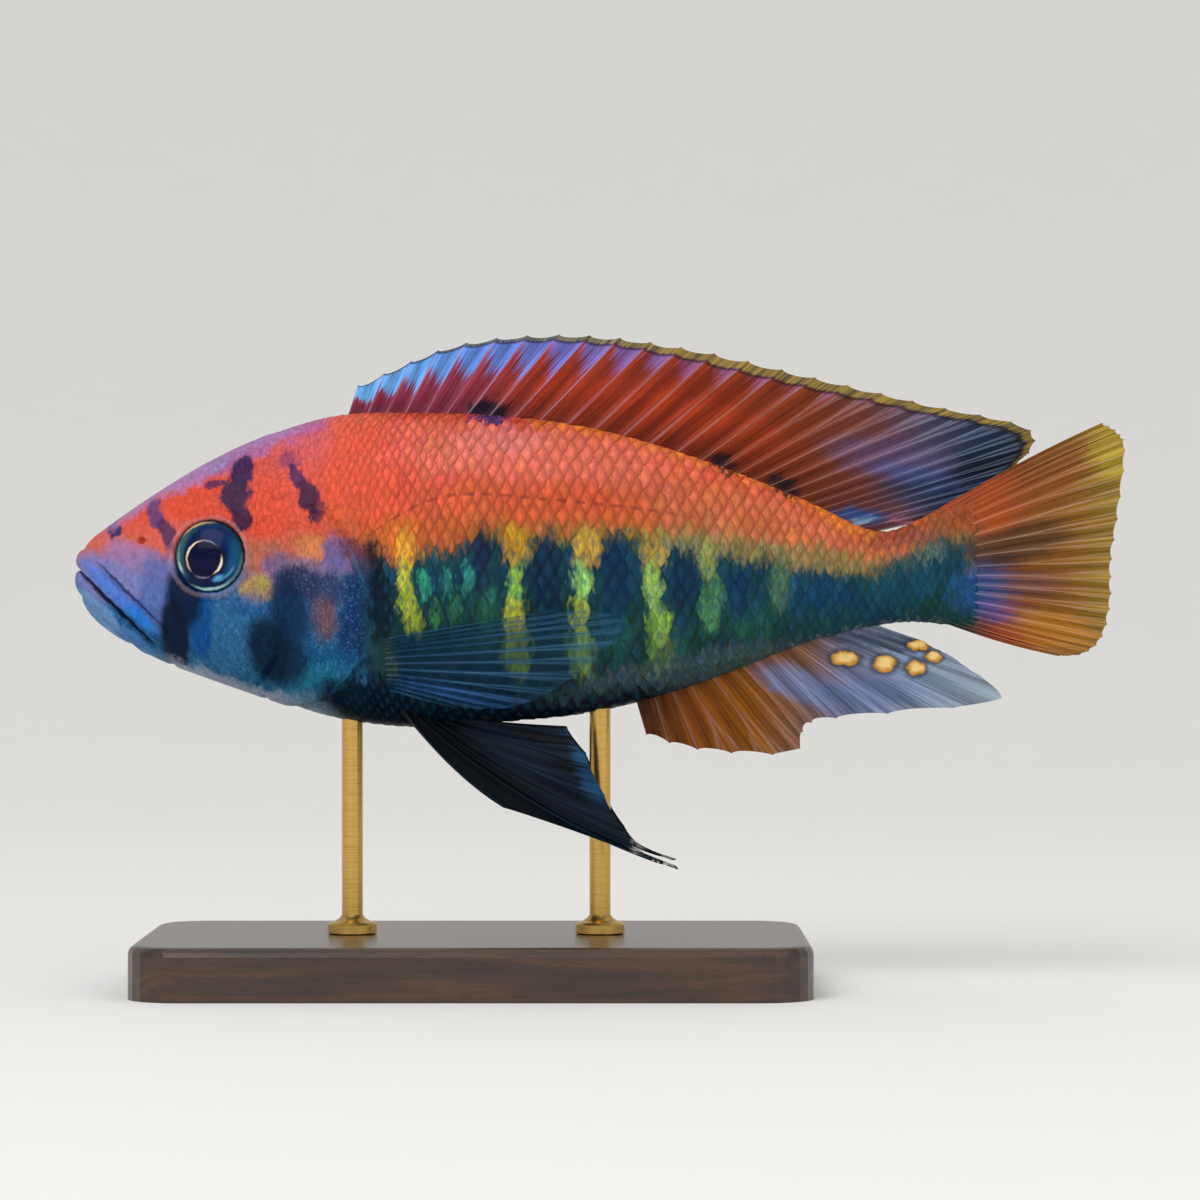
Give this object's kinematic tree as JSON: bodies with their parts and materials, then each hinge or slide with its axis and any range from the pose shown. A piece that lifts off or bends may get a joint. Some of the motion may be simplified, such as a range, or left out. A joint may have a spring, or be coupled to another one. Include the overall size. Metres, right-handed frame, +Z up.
{
  "type": "haplochromine cichlid",
  "caption": "Life-size still model of a male lake cichlid with spread fins, swimming over a flat wooden base on two brass rods.",
  "frame": {"origin": "on the surface that the stand rests on, under the middle of the fish's length", "axes": "-X toward the snout, +X toward the tail, -Y toward the fish's left side, +Z up"},
  "size_m": [0.1194, 0.044, 0.0745],
  "materials": {
    "skin": "wet scaly skin, red back over dark teal flanks with yellow-green bars, blue cheeks",
    "eye": "clear glossy eye with a black pupil, a thin pale gold ring and a dark blue iris",
    "dorsal_fin": "thin membrane, red-brown with pale blue streaks and an olive margin",
    "caudal_fin": "thin membrane, orange-brown with an olive and yellow outer edge",
    "anal_fin": "thin membrane, orange-brown in front, blue-grey behind, with cream egg spots",
    "pectoral_fin": "clear bluish membrane with fine pale rays",
    "pelvic_fin": "thin blue-black membrane with pale tips",
    "stand_wood": "dark satin-varnished wood",
    "stand_brass": "brushed brass"
  },
  "bodies": {
    "root": {"head": "skin", "lower_jaw": "skin", "torso": "skin", "tail_stalk": "skin", "gill_cover_left": "skin", "gill_cover_right": "skin", "eye_left": "eye", "eye_right": "eye", "dorsal_fin": "dorsal_fin", "caudal_fin": "caudal_fin", "anal_fin": "anal_fin", "pectoral_fin_left": "pectoral_fin", "pectoral_fin_right": "pectoral_fin", "pelvic_fin_left": "pelvic_fin", "pelvic_fin_right": "pelvic_fin", "stand_base": "stand_wood", "stand_rod_front": "stand_brass", "stand_rod_rear": "stand_brass"}
  },
  "joints": []
}
